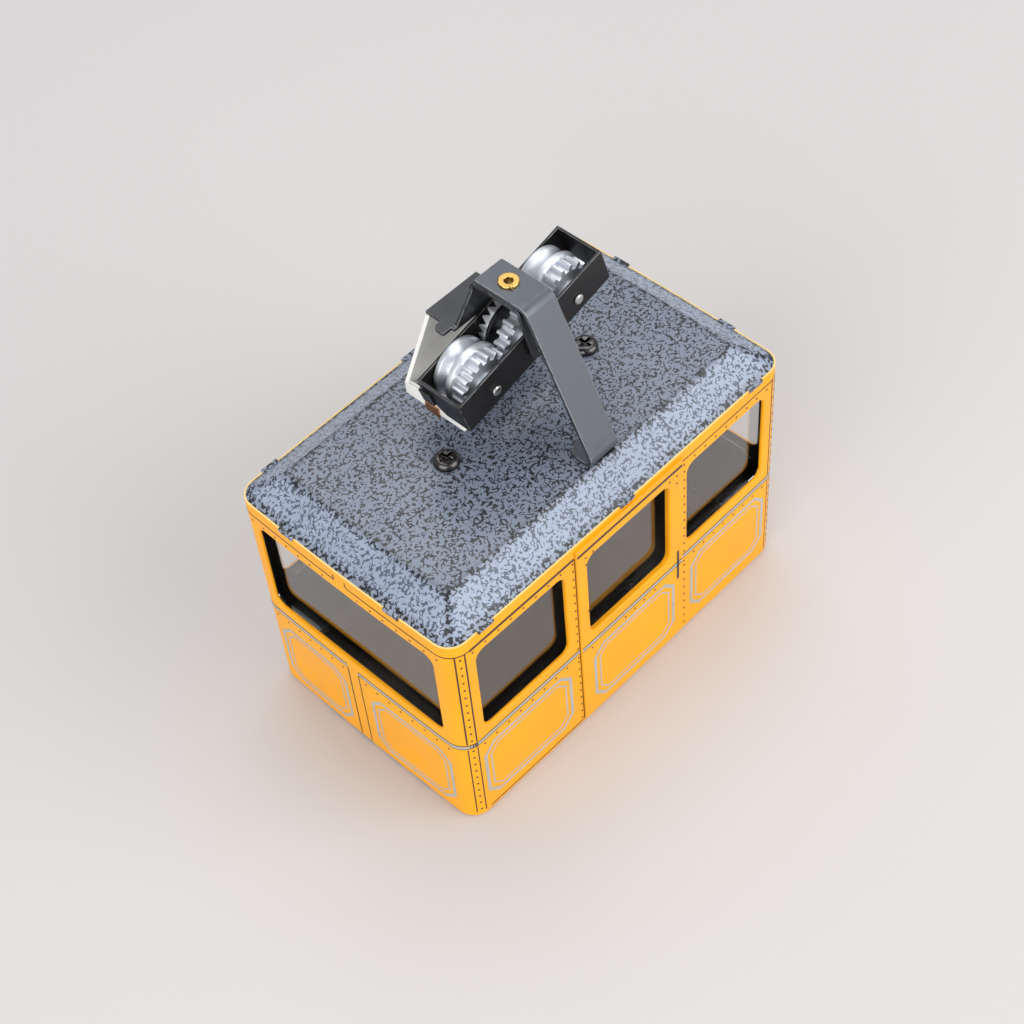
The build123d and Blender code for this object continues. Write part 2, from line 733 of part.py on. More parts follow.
# ---- brake disc and escape wheel --------------------------------------------
with BuildPart() as brake_disc:
    revolve(
        turned(0, ((brake_disc_right_y, brake_disc_radius), (brake_disc_left_y, brake_disc_radius))),
        axis=axle_axis(0),
    )
    revolve(bored(0), axis=axle_axis(0), mode=Mode.SUBTRACT)
finish(brake_disc, "brake_disc")

notch_width = escape_notch_share * 2 * pi * escape_radius / escape_teeth
lean = radians(trolley_pitch)
with BuildPart() as escape_notch:
    outwards = Plane(
        origin=tilted(0, 0, (escape_hub_radius + escape_inner_radius) / 2),
        x_dir=(cos(lean), 0, sin(lean)),
        z_dir=(-sin(lean), 0, cos(lean)),
    )
    with BuildSketch(outwards):
        Polygon(
            (0, escape_root_y),
            (notch_width / 2, escape_tip_y),
            (-notch_width / 2, escape_tip_y),
            align=None,
        )
    extrude(amount=escape_radius)
with BuildPart() as escape_wheel:
    escape_profile = (
        (brake_disc_left_y, escape_radius),
        (escape_tip_y, escape_radius),
        (escape_tip_y, escape_inner_radius),
        (escape_web_left_y, escape_inner_radius),
        (escape_web_left_y, escape_hub_radius),
        (escape_hub_left_y, escape_hub_radius),
    )
    revolve(turned(0, escape_profile), axis=axle_axis(0))
    for tooth in range(escape_teeth):
        add(escape_notch.part.rotate(axle_axis(0), tooth * 360 / escape_teeth), mode=Mode.SUBTRACT)
    revolve(bored(0), axis=axle_axis(0), mode=Mode.SUBTRACT)
finish(escape_wheel, "escape_wheel")

# ---- axles, turning in the walls and, in the middle, in the bracket's legs ------
leg_outside = half_trolley + bracket_gap + bracket_wall
for name, x, outside in (
    ("front_axle", -axle_spacing, half_trolley),
    ("centre_axle", 0.0, leg_outside),
    ("rear_axle", axle_spacing, half_trolley),
):
    with BuildPart() as axle:
        shaft = axle_diameter / 2
        head = axle_head_diameter / 2
        seat = outside + axle_head_gap
        reach = outside + axle_overhang
        axle_profile = (
            (-reach, head - axle_chamfer),
            (axle_chamfer - reach, head),
            (-seat, head),
            (-seat, shaft),
            (seat, shaft),
            (seat, head),
            (reach - axle_chamfer, head),
            (reach, head - axle_chamfer),
        )
        revolve(turned(x, axle_profile), axis=axle_axis(x))
    finish(axle, name)
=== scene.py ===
"""Looks of a tinplate toy cable car cabin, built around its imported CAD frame.

Everything is in metres in the frame's own axes: +Z up, the cabin's front at -X, the hanger's arm at -Y.
"""
import json
import logging
import math
from collections.abc import Callable
from dataclasses import dataclass, field
from enum import Enum

import bmesh
import bpy
from mathutils import Matrix, Vector
from mathutils.bvhtree import BVHTree


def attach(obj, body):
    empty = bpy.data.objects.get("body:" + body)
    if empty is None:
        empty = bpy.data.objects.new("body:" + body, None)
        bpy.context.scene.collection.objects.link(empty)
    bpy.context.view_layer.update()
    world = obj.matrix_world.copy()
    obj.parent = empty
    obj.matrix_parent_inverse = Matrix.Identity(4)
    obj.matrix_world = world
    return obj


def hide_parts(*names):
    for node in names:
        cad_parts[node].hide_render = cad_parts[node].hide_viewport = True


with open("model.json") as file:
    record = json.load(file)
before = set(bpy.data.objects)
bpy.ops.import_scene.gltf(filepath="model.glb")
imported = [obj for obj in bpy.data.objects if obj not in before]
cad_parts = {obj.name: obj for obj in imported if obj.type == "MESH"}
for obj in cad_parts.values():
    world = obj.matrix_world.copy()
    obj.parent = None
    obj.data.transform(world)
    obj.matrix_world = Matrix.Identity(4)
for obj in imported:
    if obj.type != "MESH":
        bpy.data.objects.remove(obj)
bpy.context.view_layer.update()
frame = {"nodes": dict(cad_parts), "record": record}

LOG = logging.getLogger("cable_car")
MM = 0.001
EASED = "eased"
VECTOR_KIND = "NodeSocketVector"
FLOAT_KIND = "NodeSocketFloat"
MERGE = 0.002 * MM
FLAT_DEG = 0.5
SHADE_SHARP_DEG = 38.0
PATCH_EDGES = (0.35, 0.65)
Colour = tuple[float, float, float]
Point2 = tuple[float, float]
Boxes = tuple[tuple[Point2, Point2], ...]
Placing = Callable[[float, float, float], Vector]
Socket = bpy.types.NodeSocket


# ---- shared node tools ------------------------------------------------------
class Tree:
    """Thin wrapper that adds and joins nodes in one node tree."""

    def __init__(self, tree: bpy.types.NodeTree) -> None:
        """Keep the tree that nodes are added to.

        Args:
            tree: the node tree.
        """
        self.tree = tree

    def add(self, kind: str, **settings: object) -> bpy.types.Node:
        """Add a node and set its properties.

        Args:
            kind: Blender's node type name.
            settings: property values to set on the new node.

        Returns:
            The new node.
        """
        node = self.tree.nodes.new(kind)
        for name, value in settings.items():
            setattr(node, name, value)
        return node

    def feed(self, socket: Socket, value: object) -> None:
        """Give a socket a value, or a link when the value is another node's output.

        Args:
            socket: the input to feed.
            value: plain value or output socket.
        """
        if isinstance(value, Socket):
            self.tree.links.new(value, socket)
        else:
            socket.default_value = value

    def maths(self, operation: str, *values: object, clamp: bool = False) -> Socket:
        """Add a Math node.

        Args:
            operation: the Math node's operation.
            values: a number or an output socket for each input.
            clamp: keep the result between 0 and 1.

        Returns:
            The node's output.
        """
        node = self.add("ShaderNodeMath", operation=operation, use_clamp=clamp)
        for index, value in enumerate(values):
            self.feed(node.inputs[index], value)
        return node.outputs[0]

    def smooth(self, value: object, low: float, high: float) -> Socket:
        """Smooth step of a value from 0 at low to 1 at high.

        Args:
            value: number or output socket.
            low: where the step starts.
            high: where the step ends; it may be below low.

        Returns:
            The stepped value.
        """
        node = self.add("ShaderNodeMapRange", interpolation_type="SMOOTHSTEP")
        self.feed(node.inputs["Value"], value)
        if low < high:
            ends = (low, high, 0.0, 1.0)
        else:
            ends = (high, low, 1.0, 0.0)
        for name, end in zip(("From Min", "From Max", "To Min", "To Max"), ends):
            node.inputs[name].default_value = end
        return node.outputs["Result"]

    def between(self, value: object, low: float, high: float) -> Socket:
        """Blend linearly from low to high as value goes from 0 to 1.

        Args:
            value: number or output socket.
            low: result at 0.
            high: result at 1.

        Returns:
            The blended value.
        """
        span = self.maths("MULTIPLY", value, high - low)
        return self.maths("ADD", span, low)

    def noise(self, vector: object, size_mm: float, detail: float = 2.0, warp: float = 0.0) -> Socket:
        """Add a noise texture.

        Args:
            vector: output socket with the point, in metres.
            size_mm: size of the noise's features.
            detail: number of finer layers.
            warp: distortion of the noise.

        Returns:
            The noise value, around a half.
        """
        node = self.add("ShaderNodeTexNoise")
        self.feed(node.inputs["Vector"], vector)
        node.inputs["Scale"].default_value = 1.0 / (size_mm * MM)
        node.inputs["Detail"].default_value = detail
        node.inputs["Distortion"].default_value = warp
        return node.outputs["Fac"]

    def mix(self, fac: object, first: object, second: object) -> Socket:
        """Mix two colours.

        Args:
            fac: share of the second colour.
            first: colour or output socket.
            second: colour or output socket.

        Returns:
            The mixed colour.
        """
        node = self.add("ShaderNodeMix", data_type="RGBA")
        self.feed(node.inputs[0], fac)
        for socket, value in ((node.inputs[6], first), (node.inputs[7], second)):
            self.feed(socket, (*value, 1.0) if isinstance(value, tuple) else value)
        return node.outputs[2]

    def axes(self, vector: object) -> bpy.types.bpy_prop_collection:
        """Split a vector into its three components.

        Args:
            vector: output socket of a vector.

        Returns:
            The three outputs.
        """
        node = self.add("ShaderNodeSeparateXYZ")
        self.feed(node.inputs[0], vector)
        return node.outputs


def srgb(red: int, green: int, blue: int) -> Colour:
    """Linear colour from display values of 0 to 255.

    Args:
        red: red display value.
        green: green display value.
        blue: blue display value.

    Returns:
        The linear colour.
    """
    shares = (value / 255 for value in (red, green, blue))
    return tuple(s / 12.92 if s <= 0.04045 else ((s + 0.055) / 1.055) ** 2.4 for s in shares)


def shade(colour: Colour, share: float) -> Colour:
    """Darken a colour.

    Args:
        colour: linear colour.
        share: how much of it is kept.

    Returns:
        The darker colour.
    """
    return tuple(share * channel for channel in colour)


class Effects:
    """Shader node groups that more than one finish uses."""

    def __init__(self) -> None:
        """Build every group once."""
        self.worms = self._worms()
        self.grain = self._grain()
        self.wear_and_highlight = self._wear_and_highlight()

    @staticmethod
    def _group(name: str, inputs: dict[str, tuple[str, float]], outputs: list[str]) -> tuple:
        """Start a node group.

        Args:
            name: the group's name.
            inputs: socket name to its type and default.
            outputs: names of its float outputs.

        Returns:
            The group, its Tree, its input node and its output node.
        """
        group = bpy.data.node_groups.new(name, "ShaderNodeTree")
        for label, (kind, default) in inputs.items():
            socket = group.interface.new_socket(label, in_out="INPUT", socket_type=kind)
            if kind == FLOAT_KIND:
                socket.default_value = default
        for label in outputs:
            group.interface.new_socket(label, in_out="OUTPUT", socket_type=FLOAT_KIND)
        tree = Tree(group)
        return group, tree, tree.add("NodeGroupInput"), tree.add("NodeGroupOutput")

    def _worms(self) -> bpy.types.NodeTree:
        """Short wriggling marks: thin bands of a smooth noise, broken up by a second one.

        Returns:
            The group, with a Mask that is 1 on a mark.
        """
        group, tree, given, made = self._group(
            "worm_marks",
            {"Vector": (VECTOR_KIND, 0.0), "Size": (FLOAT_KIND, 1.0), "Width": (FLOAT_KIND, 0.05)},
            ["Mask"],
        )
        scale = tree.maths("DIVIDE", 1.0 / MM, given.outputs["Size"])
        bands = []
        for shift in (0.0, 37.0):
            moved = tree.add("ShaderNodeVectorMath", operation="ADD")
            tree.feed(moved.inputs[0], given.outputs["Vector"])
            moved.inputs[1].default_value = (shift, 2 * shift, 0.0)
            node = tree.add("ShaderNodeTexNoise")
            tree.feed(node.inputs["Vector"], moved.outputs[0])
            tree.feed(node.inputs["Scale"], scale)
            node.inputs["Detail"].default_value = 0.6
            bands.append(node.outputs["Fac"])
        ridge = tree.maths("ABSOLUTE", tree.maths("SUBTRACT", bands[0], 0.5))
        inside = tree.maths("DIVIDE", ridge, given.outputs["Width"])
        line = tree.smooth(inside, 1.3, 0.75)
        kept = tree.smooth(bands[1], 0.44, 0.50)
        tree.feed(made.inputs["Mask"], tree.maths("MULTIPLY", line, kept))
        return group

    def _grain(self) -> bpy.types.NodeTree:
        """Two layers of noise, one fine and one broad, for bump and uneven gloss.

        Returns:
            The group, with a fine Height and a broad Smudge.
        """
        group, tree, given, made = self._group(
            "grain",
            {"Vector": (VECTOR_KIND, 0.0), "Fine": (FLOAT_KIND, 0.3), "Broad": (FLOAT_KIND, 6.0)},
            ["Height", "Smudge"],
        )
        for label, output, detail in (("Fine", "Height", 3.0), ("Broad", "Smudge", 2.0)):
            node = tree.add("ShaderNodeTexNoise")
            tree.feed(node.inputs["Vector"], given.outputs["Vector"])
            tree.feed(node.inputs["Scale"], tree.maths("DIVIDE", 1.0 / MM, given.outputs[label]))
            node.inputs["Detail"].default_value = detail
            tree.feed(made.inputs[output], node.outputs["Fac"])
        return group

    def _wear_and_highlight(self) -> bpy.types.NodeTree:
        """Rubbed edges with painted highlights: the faces that ease an edge, broken up by noise.

        Returns:
            The group, with a Mask that is 1 where an edge is rubbed and given its painted highlight.
        """
        group, tree, given, made = self._group("edge_wear_and_highlight", {"Vector": (VECTOR_KIND, 0.0)}, ["Mask"])
        eased = tree.add("ShaderNodeAttribute", attribute_name=EASED).outputs["Fac"]
        patchy = tree.smooth(tree.noise(given.outputs["Vector"], 1.4), 0.3, 0.55)
        tree.feed(made.inputs["Mask"], tree.maths("MULTIPLY", eased, patchy))
        return group


EFFECTS = Effects()


@dataclass(frozen=True)
class Finish:
    """One finish of the toy, with the record's slot that it stands for.

    Attributes:
        slot: name of the record's material slot.
        colour: linear base colour.
        metallic: 1 for bare metal, 0 for paint or plastic.
        roughness: average roughness.
        uneven: how far the roughness strays either way.
        grain_mm: size of the fine grain.
        bump_um: height of the fine grain, in thousandths of a millimetre.
        coat: weight of a clear coat.
        specular: level of plain reflection.
        worn_highlight: colour that shows where edges are rubbed; being pale, it also paints the edges'
            highlights.
        wear_and_highlight: how much the rubbed edges and their painted highlights show.
    """

    slot: str
    colour: Colour
    metallic: float = 0.0
    roughness: float = 0.4
    uneven: float = 0.08
    grain_mm: float = 0.25
    bump_um: float = 3.0
    coat: float = 0.0
    specular: float = 0.5
    worn_highlight: Colour = (0.5, 0.5, 0.5)
    wear_and_highlight: float = 0.0

    def start(self, name: str) -> tuple[bpy.types.Material, Tree, bpy.types.Node, Socket]:
        """Make the material with its shader.

        Args:
            name: the material's name.

        Returns:
            The material, its Tree, the Principled shader and the Object coordinates.
        """
        material = bpy.data.materials.new(name)
        material.use_nodes = True
        tree = Tree(material.node_tree)
        shader = material.node_tree.nodes["Principled BSDF"]
        shader.inputs["Metallic"].default_value = self.metallic
        shader.inputs["Coat Weight"].default_value = self.coat
        shader.inputs["Specular IOR Level"].default_value = self.specular
        shader.inputs["Coat Roughness"].default_value = 0.08
        place = tree.add("ShaderNodeTexCoord").outputs["Object"]
        return material, tree, shader, place

    def surface(self, tree: Tree, shader: bpy.types.Node, place: Socket) -> bpy.types.Node:
        """Give the shader its uneven gloss and fine bump.

        Args:
            tree: the material's Tree.
            shader: the Principled shader.
            place: Object coordinates.

        Returns:
            The grain group's node, whose Smudge other nodes may use.
        """
        grain = tree.add("ShaderNodeGroup", node_tree=EFFECTS.grain)
        tree.feed(grain.inputs["Vector"], place)
        grain.inputs["Fine"].default_value = self.grain_mm
        grain.inputs["Broad"].default_value = 24 * self.grain_mm
        low, high = self.roughness - self.uneven, self.roughness + self.uneven
        patch = tree.smooth(grain.outputs["Smudge"], *PATCH_EDGES)
        tree.feed(shader.inputs["Roughness"], tree.between(patch, low, high))
        bump = tree.add("ShaderNodeBump")
        bump.inputs["Distance"].default_value = self.bump_um * MM * MM
        tree.feed(bump.inputs["Height"], grain.outputs["Height"])
        tree.feed(shader.inputs["Normal"], bump.outputs["Normal"])
        return grain

    def material(self, name: str) -> bpy.types.Material:
        """Make this finish's material.

        Args:
            name: the material's name.

        Returns:
            The material.
        """
        material, tree, shader, place = self.start(name)
        grain = self.surface(tree, shader, place)
        patch = tree.smooth(grain.outputs["Smudge"], 0.3, 0.7)
        colour = tree.mix(patch, shade(self.colour, 0.9), self.colour)
        # painted highlight: eased edges are lightened towards a pale colour, partly rubbing of the edges and
        # partly their highlights.
        if self.wear_and_highlight:
            wear_and_highlight = tree.add("ShaderNodeGroup", node_tree=EFFECTS.wear_and_highlight)
            tree.feed(wear_and_highlight.inputs["Vector"], place)
            share = tree.maths("MULTIPLY", wear_and_highlight.outputs["Mask"], self.wear_and_highlight)
            colour = tree.mix(share, colour, self.worn_highlight)
        tree.feed(shader.inputs["Base Color"], colour)
        return material


@dataclass(frozen=True)
class CabinPlan:
    """Sizes of the cabin's plan, in metres, that prints and masks need.

    Attributes:
        half_length: from the middle to the ends of the straight sides.
        half_width: from the middle to the sides at their ends.
        corner: radius of the corners.
        side_bow: how far a side bows out at its middle.
        end_bow: how far an end bows out at its middle.
    """

    half_length: float = 50.0 * MM
    half_width: float = 30.7 * MM
    corner: float = 4.6 * MM
    side_bow: float = 0.3 * MM
    end_bow: float = 0.5 * MM

    @property
    def core(self) -> Point2:
        """Half sizes of the plan between its rounded corners."""
        return self.half_length - self.corner, self.half_width - self.corner

    def insets(self, tree: Tree, place: Socket) -> tuple[Socket, Socket]:
        """Distances in from the ends and from the sides, as shader values.

        Args:
            tree: the material's Tree.
            place: Object coordinates.

        Returns:
            Distance in from the nearer end, and from the nearer side.
        """
        axes = tree.axes(place)
        across = [tree.maths("ABSOLUTE", axes[i]) for i in (0, 1)]
        found = []
        for mine, other, half, other_half, bow in (
            (across[0], across[1], self.half_length, self.half_width, self.end_bow),
            (across[1], across[0], self.half_width, self.half_length, self.side_bow),
        ):
            share = tree.maths("POWER", tree.maths("DIVIDE", other, other_half), 2.0)
            edge = tree.maths("MULTIPLY_ADD", share, -bow, half + bow)
            found.append(tree.maths("SUBTRACT", edge, mine))
        return found[0], found[1]


PLAN = CabinPlan()


@dataclass(frozen=True)
class PrintedLacquer(Finish):
    """Glossy lacquer on the cabin's outside; where the surface faces the cabin's inside it is near-black.

    Attributes:
        back: colour of the sheet's back.
        cut_edge_highlight: colour of the sheet's cut edge under the roof; pale yellow, it also paints the
            rim's highlight along its top.
        cut_edge_highlight_from: height where that edge starts.
    """

    back: Colour = srgb(22, 21, 22)
    cut_edge_highlight: Colour = srgb(238, 205, 128)
    cut_edge_highlight_from: float = 62.22 * MM

    def material(self, name: str) -> bpy.types.Material:
        """Make the lacquer, with its dark back where the surface faces the cabin's inside.

        Args:
            name: the material's name.

        Returns:
            The material.
        """
        material, tree, shader, place = self.start(name)
        grain = self.surface(tree, shader, place)
        inwards = self._facing_in(tree, place)
        patch = tree.smooth(grain.outputs["Smudge"], *PATCH_EDGES)
        colour = tree.mix(patch, shade(self.colour, 0.93), self.colour)
        # painted highlight: the skin's top edge turns pale yellow, partly the uncoated cut edge and partly
        # the rim's highlight.
        blend = 0.05 * MM
        cut_edge_highlight_mask = tree.smooth(tree.axes(place)[2], self.cut_edge_highlight_from - blend, self.cut_edge_highlight_from + blend)
        outside = tree.mix(cut_edge_highlight_mask, colour, self.cut_edge_highlight)
        # near-black where the surface faces the cabin's inside.
        tree.feed(shader.inputs["Base Color"], tree.mix(inwards, outside, self.back))
        return material

    @staticmethod
    def _facing_in(tree: Tree, place: Socket) -> Socket:
        """Mask of 1 where the surface faces the cabin's middle.

        Args:
            tree: the material's Tree.
            place: Object coordinates.

        Returns:
            The mask.
        """
        core_x, core_y = PLAN.core
        lowest = tree.add("ShaderNodeVectorMath", operation="MAXIMUM")
        tree.feed(lowest.inputs[0], place)
        lowest.inputs[1].default_value = (-core_x, -core_y, 0.0)
        held = tree.add("ShaderNodeVectorMath", operation="MINIMUM")
        tree.feed(held.inputs[0], lowest.outputs[0])
        held.inputs[1].default_value = (core_x, core_y, 1.0)
        outwards = tree.add("ShaderNodeVectorMath", operation="SUBTRACT")
        tree.feed(outwards.inputs[0], place)
        tree.feed(outwards.inputs[1], held.outputs[0])
        unit = tree.add("ShaderNodeVectorMath", operation="NORMALIZE")
        tree.feed(unit.inputs[0], outwards.outputs[0])
        facing = tree.add("ShaderNodeVectorMath", operation="DOT_PRODUCT")
        tree.feed(facing.inputs[0], unit.outputs[0])
        tree.feed(facing.inputs[1], tree.add("ShaderNodeNewGeometry").outputs["Normal"])
        return tree.smooth(facing.outputs["Value"], -0.3, -0.6)


@dataclass(frozen=True)
class WormedRoof(Finish):
    """Grey-blue roof print with dark wriggling marks; along the creases the marks are wider and darker and
    the ground is darkened too.

    Attributes:
        marks: colour of the marks on the crown and along the creases, and of the darkening of the ground
            along the creases.
        slope_marks: colour of the marks on the slopes.
        crown: colour of the flat crown.
        mark_mm: spacing of the marks.
        mark_width: share of the noise that a mark takes up.
        crown_inset: how far in the flat crown starts.
        crease: half the width of the darker band along a crease.
    """

    marks: Colour = srgb(20, 22, 27)
    slope_marks: Colour = srgb(78, 86, 100)
    crown: Colour = srgb(116, 125, 141)
    mark_mm: float = 0.8
    mark_width: float = 0.085
    crown_inset: float = 7.8 * MM
    crease: float = 1.3 * MM

    def material(self, name: str) -> bpy.types.Material:
        """Make the roof's material.

        Args:
            name: the material's name.

        Returns:
            The material.
        """
        material, tree, shader, place = self.start(name)
        grain = self.surface(tree, shader, place)
        crease = self._creases(tree, place)
        worms = tree.add("ShaderNodeGroup", node_tree=EFFECTS.worms)
        tree.feed(worms.inputs["Vector"], place)
        worms.inputs["Size"].default_value = self.mark_mm
        tree.feed(worms.inputs["Width"], tree.between(crease, self.mark_width, 1.6 * self.mark_width))
        patch = tree.smooth(grain.outputs["Smudge"], *PATCH_EDGES)
        slope = tree.mix(patch, shade(self.colour, 0.9), self.colour)
        inset = tree.maths("MINIMUM", *PLAN.insets(tree, place))
        blend = 0.3 * MM
        on_crown = tree.smooth(inset, self.crown_inset - blend, self.crown_inset + blend)
        ground = tree.mix(on_crown, slope, self.crown)
        # darker along the crown's edge, the hips and the rim: the ground is pulled towards the mark colour
        # there.
        crease_darkened = tree.mix(tree.maths("MULTIPLY", crease, 0.25), ground, self.marks)
        dark = tree.maths("MAXIMUM", on_crown, crease)
        ink = tree.mix(dark, self.slope_marks, self.marks)
        tree.feed(shader.inputs["Base Color"], tree.mix(worms.outputs["Mask"], crease_darkened, ink))
        return material

    def _creases(self, tree: Tree, place: Socket) -> Socket:
        """Mask that is 1 along the crown's edge, the hips and the rim.

        Args:
            tree: the material's Tree.
            place: Object coordinates.

        Returns:
            The mask.
        """
        end, side = PLAN.insets(tree, place)
        inset = tree.maths("MINIMUM", end, side)
        past_crown = tree.maths("ABSOLUTE", tree.maths("SUBTRACT", inset, self.crown_inset))
        crown = tree.smooth(past_crown, self.crease, 0.2 * self.crease)
        rim = tree.smooth(inset, 1.7 * self.crease, 0.9 * self.crease)
        off_hip = tree.maths("ABSOLUTE", tree.maths("SUBTRACT", end, side))
        on_slope = tree.smooth(inset, self.crown_inset + self.crease, self.crown_inset)
        hip = tree.maths("MULTIPLY", tree.smooth(off_hip, 1.4 * self.crease, 0.3 * self.crease), on_slope)
        return tree.maths("MAXIMUM", tree.maths("MAXIMUM", crown, rim), hip)


@dataclass(frozen=True)
class ClearSheet(Finish):
    """Clear window sheet."""

    def material(self, name: str) -> bpy.types.Material:
        """Make the clear sheet's material.

        Args:
            name: the material's name.

        Returns:
            The material.
        """
        material, tree, shader, place = self.start(name)
        shader.inputs["Transmission Weight"].default_value = 1.0
        shader.inputs["IOR"].default_value = 1.49
        shader.inputs["Base Color"].default_value = (*self.colour, 1.0)
        self.surface(tree, shader, place)
        return material


LACQUER = PrintedLacquer(
    "litho_body", srgb(255, 172, 14), roughness=0.4, uneven=0.05, grain_mm=0.5, bump_um=1.5,
    coat=0.05, specular=0.25,
)
FLOOR_TIN = Finish("floor_tin", srgb(60, 52, 44), roughness=0.45, metallic=0.2)
ROOF = WormedRoof(
    "roof_paint", srgb(150, 161, 180), roughness=0.38, uneven=0.05, grain_mm=0.5, bump_um=2.0, coat=0.15
)
CLEAR = ClearSheet(
    "clear_window", (0.96, 0.97, 0.98), roughness=0.045, uneven=0.02, grain_mm=2.0, bump_um=1.0
)
# The pale edge colours below lighten eased edges: partly rubbing, partly painted edge highlights.
SCREW = Finish(
    "screw_nickel", srgb(88, 86, 86), metallic=1.0, roughness=0.24, bump_um=2.0,
    worn_highlight=srgb(200, 198, 194), wear_and_highlight=0.3,
)
STRAP = Finish(
    "strap_steel", srgb(103, 107, 112), metallic=0.85, roughness=0.46, grain_mm=0.14, bump_um=9.0,
    worn_highlight=srgb(190, 190, 190), wear_and_highlight=0.5,
)
BRASS = Finish("eyelet_brass", srgb(222, 180, 104), metallic=1.0, roughness=0.25, bump_um=2.0)
BRACKET = Finish(
    "bracket_steel", srgb(78, 79, 82), metallic=0.85, roughness=0.44, grain_mm=0.2, bump_um=4.0,
    worn_highlight=srgb(170, 170, 170), wear_and_highlight=0.4,
)
IVORY = Finish("guard_ivory", srgb(246, 244, 238), roughness=0.35, bump_um=1.5, coat=0.2)
COPPER = Finish("clip_copper", srgb(205, 140, 96), metallic=1.0, roughness=0.35)
BLACK = Finish(
    "trolley_black", srgb(40, 39, 40), metallic=0.6, roughness=0.38, grain_mm=0.2, bump_um=4.0,
    worn_highlight=srgb(140, 140, 140), wear_and_highlight=0.6,
)
ZINC = Finish("wheel_zinc", srgb(222, 226, 232), metallic=0.8, roughness=0.42, grain_mm=0.35, bump_um=8.0)
DISC = Finish("disc_black", srgb(30, 30, 32), metallic=0.5, roughness=0.3)
ESCAPE = Finish("escape_steel", srgb(222, 224, 228), metallic=0.8, roughness=0.38)
AXLE = Finish("axle_steel", srgb(205, 203, 200), metallic=1.0, roughness=0.28, bump_um=4.0)
PRINT_SILVER = Finish("litho_body", srgb(178, 178, 172), roughness=0.35)
PRINT_DARK = Finish("litho_body", srgb(52, 40, 30), roughness=0.35)


# ---- pieces carried over from the frame --------------------------------------
@dataclass(frozen=True)
class Softened:
    """A copy of a CAD node's mesh with its sharp edges eased.

    Attributes:
        node: the CAD node.
        finish: its finish.
        ease_mm: width of the eased edges.
        sharp_deg: smallest turn between faces that counts as an edge.
    """

    node: str
    finish: Finish
    ease_mm: float = 0.1
    sharp_deg: float = 28.0

    def build(self, body: str, material: bpy.types.Material) -> bpy.types.Object:
        """Build the copy, put it on its body and hide the node.

        Args:
            body: CAD body that it rides on.
            material: its material.

        Returns:
            The new piece.
        """
        mesh = frame["nodes"][self.node].data.copy()
        mesh.materials.clear()
        mesh.materials.append(material)
        shape = bmesh.new()
        shape.from_mesh(mesh)
        bmesh.ops.remove_doubles(shape, verts=shape.verts, dist=MERGE)
        flat = math.radians(FLAT_DEG)
        bmesh.ops.dissolve_limit(shape, angle_limit=flat, verts=shape.verts, edges=shape.edges)
        turn = math.radians(self.sharp_deg)
        sharp = [edge for edge in shape.edges if edge.is_manifold and edge.calc_face_angle() > turn]
        eased = shape.faces.layers.float.new(EASED)
        if self.ease_mm:
            made = bmesh.ops.bevel(
                shape, geom=sharp, offset=self.ease_mm * MM, offset_type="OFFSET", segments=2,
                profile=0.5, affect="EDGES", clamp_overlap=False, material=-1,
            )
            for face in made["faces"]:
                face[eased] = 1.0
        for face in shape.faces:
            face.material_index = 0
        shape.to_mesh(mesh)
        shape.free()
        mesh.shade_smooth()
        mesh.set_sharp_from_angle(angle=math.radians(SHADE_SHARP_DEG))
        piece = bpy.data.objects.new(f"{self.node}_shown", mesh)
        bpy.context.scene.collection.objects.link(piece)
        weighted = piece.modifiers.new("even_shading", "WEIGHTED_NORMAL")
        weighted.keep_sharp = True
        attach(piece, body)
        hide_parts(self.node)
        return piece


# ---- the printed skin ----------------------------------------------------------
class Face(Enum):
    """A flat stretch of the cabin's skin, with the way that it faces."""

    RIGHT = (0.0, -1.0)
    LEFT = (0.0, 1.0)
    FRONT = (-1.0, 0.0)
    REAR = (1.0, 0.0)


@dataclass
class Skin:
    """The cabin's outside, on which flat drawings are laid.

    Attributes:
        lift: how proud the ink stands.
        sink: how deep the ink's underside lies in the skin.
        beyond_face: how far out a ray starts, from the middle of the cabin.
        beyond_corner: how far out a ray starts, from the centre of a corner.
        tree: the skin's surface.
    """

    lift: float = 0.05 * MM
    sink: float = 0.02 * MM
    beyond_face: float = 100 * MM
    beyond_corner: float = 20 * MM
    tree: BVHTree = field(init=False)

    def __post_init__(self) -> None:
        """Read the skin's surface from the CAD node."""
        data = frame["nodes"]["body_shell"].data
        corners = [vertex.co for vertex in data.vertices]
        self.tree = BVHTree.FromPolygons(corners, [tuple(face.vertices) for face in data.polygons])

    def on_face(self, face: Face, along: float, height: float, proud: float) -> Vector:
        """Point on a flat stretch of the skin.

        Args:
            face: which stretch.
            along: X on a side, Y on an end, in metres.
            height: Z in metres.
            proud: distance out from the skin.

        Returns:
            The point.
        """
        out = Vector((*face.value, 0.0))
        start = Vector((along, 0.0, height)) if out.y else Vector((0.0, along, height))
        start += out * self.beyond_face
        hit = self.tree.ray_cast(start, -out)[0]
        return hit + out * proud

    def on_corner(self, quadrant: Point2, turn: float, height: float, proud: float) -> Vector:
        """Point on a rounded corner of the skin.

        Args:
            quadrant: signs of X and Y at the corner.
            turn: angle about the corner's centre from the X axis, in radians.
            height: Z in metres.
            proud: distance out from the skin.

        Returns:
            The point.
        """
        core_x, core_y = PLAN.core
        centre = Vector((quadrant[0] * core_x, quadrant[1] * core_y, height))
        out = Vector((quadrant[0] * math.cos(turn), quadrant[1] * math.sin(turn), 0.0))
        hit = self.tree.ray_cast(centre + out * self.beyond_corner, -out)[0]
        return hit + out * proud


